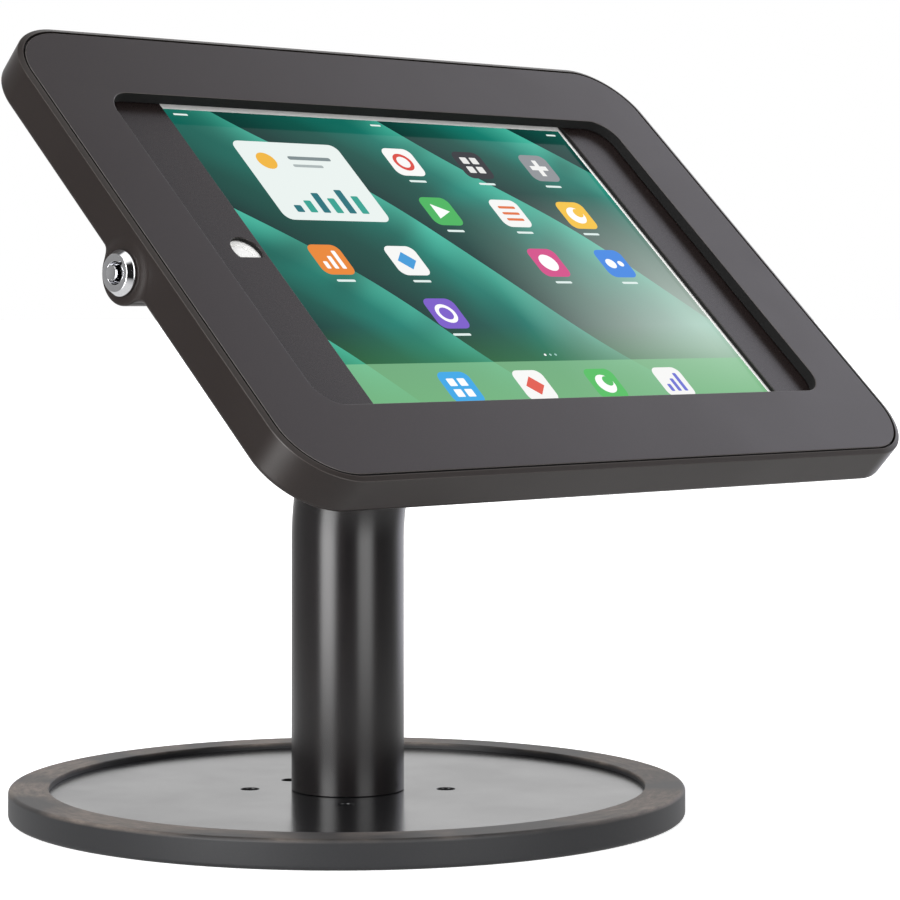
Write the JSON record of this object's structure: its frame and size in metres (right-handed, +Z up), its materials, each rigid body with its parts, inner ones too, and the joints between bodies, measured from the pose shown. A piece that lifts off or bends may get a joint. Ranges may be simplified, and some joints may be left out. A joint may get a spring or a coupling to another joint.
{
  "type": "tablet countertop stand",
  "caption": "Free-standing counter stand with a locked, swivelling tablet enclosure on a bent post and a weighted round base.",
  "frame": {"origin": "centre of the base's underside, where the stand rests", "axes": "+Z up; +X towards the user's right, along the tablet's long side; the screen faces -Y and upwards"},
  "size_m": [0.3082, 0.2649, 0.2748],
  "materials": {
    "ring_rubber": "matt moulded rubber, charcoal",
    "plate_paint": "satin black powder coat on steel",
    "pad_foam": "closed-cell foam with a fine pebbled skin",
    "post_paint": "satin black paint over a fine drawn grain",
    "grommet_rubber": "soft black rubber",
    "zinc_steel": "zinc-plated steel",
    "hub_paint": "satin black paint",
    "washer_nylon": "natural nylon",
    "tray_paint": "satin black powder coat on die-cast alloy",
    "cover_paint": "satin black powder coat with a fine grain",
    "adapter_plastic": "fine-textured black moulded plastic",
    "tablet_metal": "bead-blasted clear anodised aluminium",
    "cell_laminate": "laminated cells and boards",
    "screen_picture": "lit picture, teal and green",
    "front_glass": "clear glass with a white printed border",
    "button_white": "polished white",
    "lock_chrome": "bright nickel-chrome plate"
  },
  "bodies": {
    "base": {"base_ring": "ring_rubber", "base_plate": "plate_paint", "base_pad": "pad_foam", "post_tube": "post_paint", "post_foot_plate": "zinc_steel", "cable_grommet": "grommet_rubber", "foot_screw_1": "zinc_steel", "foot_screw_2": "zinc_steel", "foot_screw_3": "zinc_steel", "neck_flange": "hub_paint", "swivel_washer": "washer_nylon"},
    "head": {"hub_plate": "hub_paint", "stop_pin": "zinc_steel", "swivel_spindle": "zinc_steel", "swivel_nut": "zinc_steel", "back_tray": "tray_paint", "left_adapter": "adapter_plastic", "right_adapter": "adapter_plastic", "hub_screw_1": "zinc_steel", "hub_screw_2": "zinc_steel", "hub_screw_3": "zinc_steel", "hub_screw_4": "zinc_steel", "adapter_screw_1": "zinc_steel", "adapter_screw_2": "zinc_steel", "adapter_screw_3": "zinc_steel", "adapter_screw_4": "zinc_steel", "corner_pad_1": "pad_foam", "corner_pad_2": "pad_foam", "corner_pad_3": "pad_foam", "corner_pad_4": "pad_foam", "tablet_shell": "tablet_metal", "tablet_core": "cell_laminate", "display_panel": "screen_picture", "tablet_glass": "front_glass", "lock_housing": "lock_chrome", "lock_nut": "zinc_steel"},
    "cover": {"front_cover": "cover_paint", "striker_bracket": "zinc_steel", "striker_pin": "zinc_steel"},
    "lock_core": {"lock_plug": "lock_chrome", "lock_cam": "zinc_steel", "cam_screw": "zinc_steel"},
    "home_key": {"home_button": "button_white"},
    "power_key": {"power_button": "tablet_metal"},
    "volume_up_key": {"volume_up_button": "tablet_metal"},
    "volume_down_key": {"volume_down_button": "tablet_metal"}
  },
  "joints": [
    {"name": "head_swivel", "type": "hinge", "parent": "base", "child": "head", "pos_m": [0, -0.05697, 0.19172], "axis": [0, -0.6884, 0.7254], "range_deg": [0, 90]},
    {"name": "cover_hinge", "type": "hinge", "parent": "head", "child": "cover", "pos_m": [0.149, -0.0673, 0.2026], "axis": [0, 0.7254, 0.6884], "range_deg": [0, 25]},
    {"name": "lock_turn", "type": "hinge", "parent": "head", "child": "lock_core", "pos_m": [-0.15, -0.0578, 0.19259], "axis": [1, 0, 0], "range_deg": [0, 90]},
    {"name": "home_press", "type": "slide", "parent": "head", "child": "home_key", "axis": [0, 0.6884, -0.7254], "range_m": [0, 0.0003], "stiffness_N_per_m": 2500},
    {"name": "power_press", "type": "slide", "parent": "head", "child": "power_key", "axis": [-1, 0, 0], "range_m": [0, 0.0003], "stiffness_N_per_m": 2500},
    {"name": "volume_up_press", "type": "slide", "parent": "head", "child": "volume_up_key", "axis": [0, 0.7254, 0.6884], "range_m": [0, 0.0003], "stiffness_N_per_m": 2500},
    {"name": "volume_down_press", "type": "slide", "parent": "head", "child": "volume_down_key", "axis": [0, 0.7254, 0.6884], "range_m": [0, 0.0003], "stiffness_N_per_m": 2500}
  ]
}
